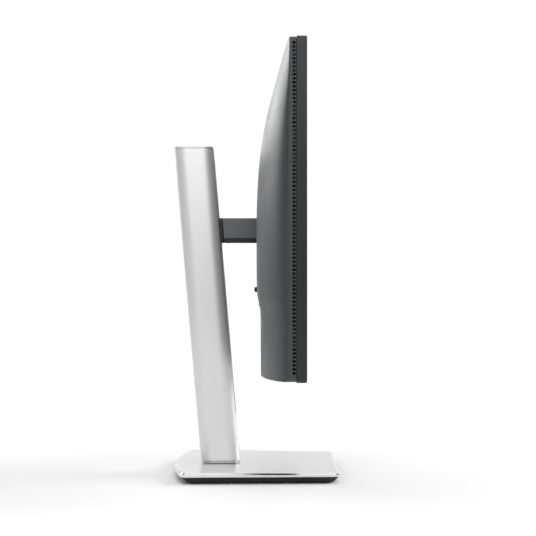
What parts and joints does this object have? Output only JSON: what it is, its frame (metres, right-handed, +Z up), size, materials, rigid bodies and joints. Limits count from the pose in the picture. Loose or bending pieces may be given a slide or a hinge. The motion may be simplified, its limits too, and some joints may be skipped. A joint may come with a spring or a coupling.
{
  "type": "computer monitor",
  "caption": "Flat office monitor with a domed rear cover on a leaning silver column stand with a flat base; height, tilt, swivel and pivot joints.",
  "frame": {"origin": "on the desk, under the centre of the whole monitor's bounding box", "axes": "+Z up; the screen faces -Y; +X is the user's right"},
  "size_m": [0.532, 0.183, 0.4649],
  "materials": {
    "silver": "satin silver paint, fine even grain",
    "dark_plastic": "fine moulded texture, dark grey",
    "black_plastic": "matt moulded black",
    "steel": "rolled and machined steel",
    "zinc": "zinc-plated sheet and castings",
    "rubber": "matt",
    "screen": "anti-glare film over a dark panel",
    "light_guide": "clear acrylic sheet",
    "nylon": "natural nylon",
    "circuit_board": "green solder mask"
  },
  "bodies": {
    "base": {"base_top_shell": "silver", "base_pan": "black_plastic", "base_weight": "steel", "swivel_bearing": "zinc", "foot_pad_1": "rubber", "foot_pad_2": "rubber", "foot_pad_3": "rubber", "foot_pad_4": "rubber"},
    "column": {"swivel_rotor": "silver", "swivel_washer": "steel", "thumb_screw": "zinc", "column_shell": "silver", "column_cap": "silver", "cable_ring": "black_plastic", "slot_trim": "black_plastic", "rail_left": "steel", "rail_right": "steel", "spring_anchor": "steel", "spring_strip": "steel"},
    "carriage": {"carriage_block": "zinc", "guide_shoe_left": "nylon", "guide_shoe_right": "nylon", "drum_axle": "steel", "arm_bracket": "steel", "arm_collar": "black_plastic", "arm_cover_upper": "dark_plastic", "arm_cover_lower": "black_plastic"},
    "spring_drum": {"spring_drum": "steel"},
    "tilt_head": {"tilt_bracket": "steel", "tilt_pin": "steel", "tilt_washer_left": "zinc", "tilt_washer_right": "zinc", "hinge_cap": "dark_plastic"},
    "display": {"mount_plate": "zinc", "pivot_washer": "steel", "mount_cover": "dark_plastic", "vesa_screw_1": "steel", "vesa_screw_2": "steel", "vesa_screw_3": "steel", "vesa_screw_4": "steel", "rear_cover": "dark_plastic", "front_frame": "dark_plastic", "lcd_panel": "screen", "light_guide": "light_guide", "led_bar": "nylon", "panel_chassis": "zinc", "board_bracket": "zinc", "main_board": "circuit_board", "power_board": "circuit_board", "power_inlet": "black_plastic", "hdmi_port": "zinc", "displayport_port": "zinc", "usb_upstream_port": "zinc", "usb_device_port": "zinc", "control_board": "circuit_board"},
    "joystick_cradle": {"joystick_cradle": "black_plastic"},
    "joystick_gimbal": {"joystick_gimbal": "zinc"},
    "joystick": {"joystick_cap": "black_plastic"},
    "power_button": {"power_button": "black_plastic"},
    "release_button": {"release_button": "black_plastic"}
  },
  "joints": [
    {"name": "base_swivel", "type": "hinge", "parent": "base", "child": "column", "pos_m": [0, 0.03989, 0.0138], "axis": [0, 0, 1], "range_deg": [-45, 45]},
    {"name": "height_adjust", "type": "slide", "parent": "column", "child": "carriage", "axis": [0, 0.0854, 0.9963], "range_m": [-0.09, 0.06], "deforming": ["spring_strip"]},
    {"name": "spring_drum_spin", "type": "hinge", "parent": "carriage", "child": "spring_drum", "pos_m": [0, 0.06045, 0.22496], "axis": [1, 0, 0], "range_deg": [-320, 475]},
    {"name": "display_tilt", "type": "hinge", "parent": "carriage", "child": "tilt_head", "pos_m": [0, -0.008, 0.275], "axis": [-1, 0, 0], "range_deg": [-5, 21]},
    {"name": "display_pivot", "type": "hinge", "parent": "tilt_head", "child": "display", "pos_m": [0, -0.0166, 0.275], "axis": [0, 1, 0], "range_deg": [0, 30]},
    {"name": "joystick_press", "type": "slide", "parent": "display", "child": "joystick_cradle", "axis": [0, -1, 0], "range_m": [0, 0.0004], "stiffness_N_per_m": 1500},
    {"name": "joystick_up_down", "type": "hinge", "parent": "joystick_cradle", "child": "joystick_gimbal", "pos_m": [0.14, -0.008, 0.2063], "axis": [1, 0, 0], "range_deg": [-6, 6], "stiffness_Nm_per_rad": 0.05},
    {"name": "joystick_left_right", "type": "hinge", "parent": "joystick_gimbal", "child": "joystick", "pos_m": [0.14, -0.008, 0.2063], "axis": [0, 0, 1], "range_deg": [-6, 6], "stiffness_Nm_per_rad": 0.05},
    {"name": "power_press", "type": "slide", "parent": "display", "child": "power_button", "axis": [0, -1, 0], "range_m": [0, 0.0008], "stiffness_N_per_m": 1200},
    {"name": "release_press", "type": "slide", "parent": "display", "child": "release_button", "axis": [0, -1, 0], "range_m": [0, 0.003], "stiffness_N_per_m": 700}
  ],
  "couplings": [
    {"joint": "spring_drum_spin", "follows": "height_adjust", "rad_per_m": -90.909}
  ]
}
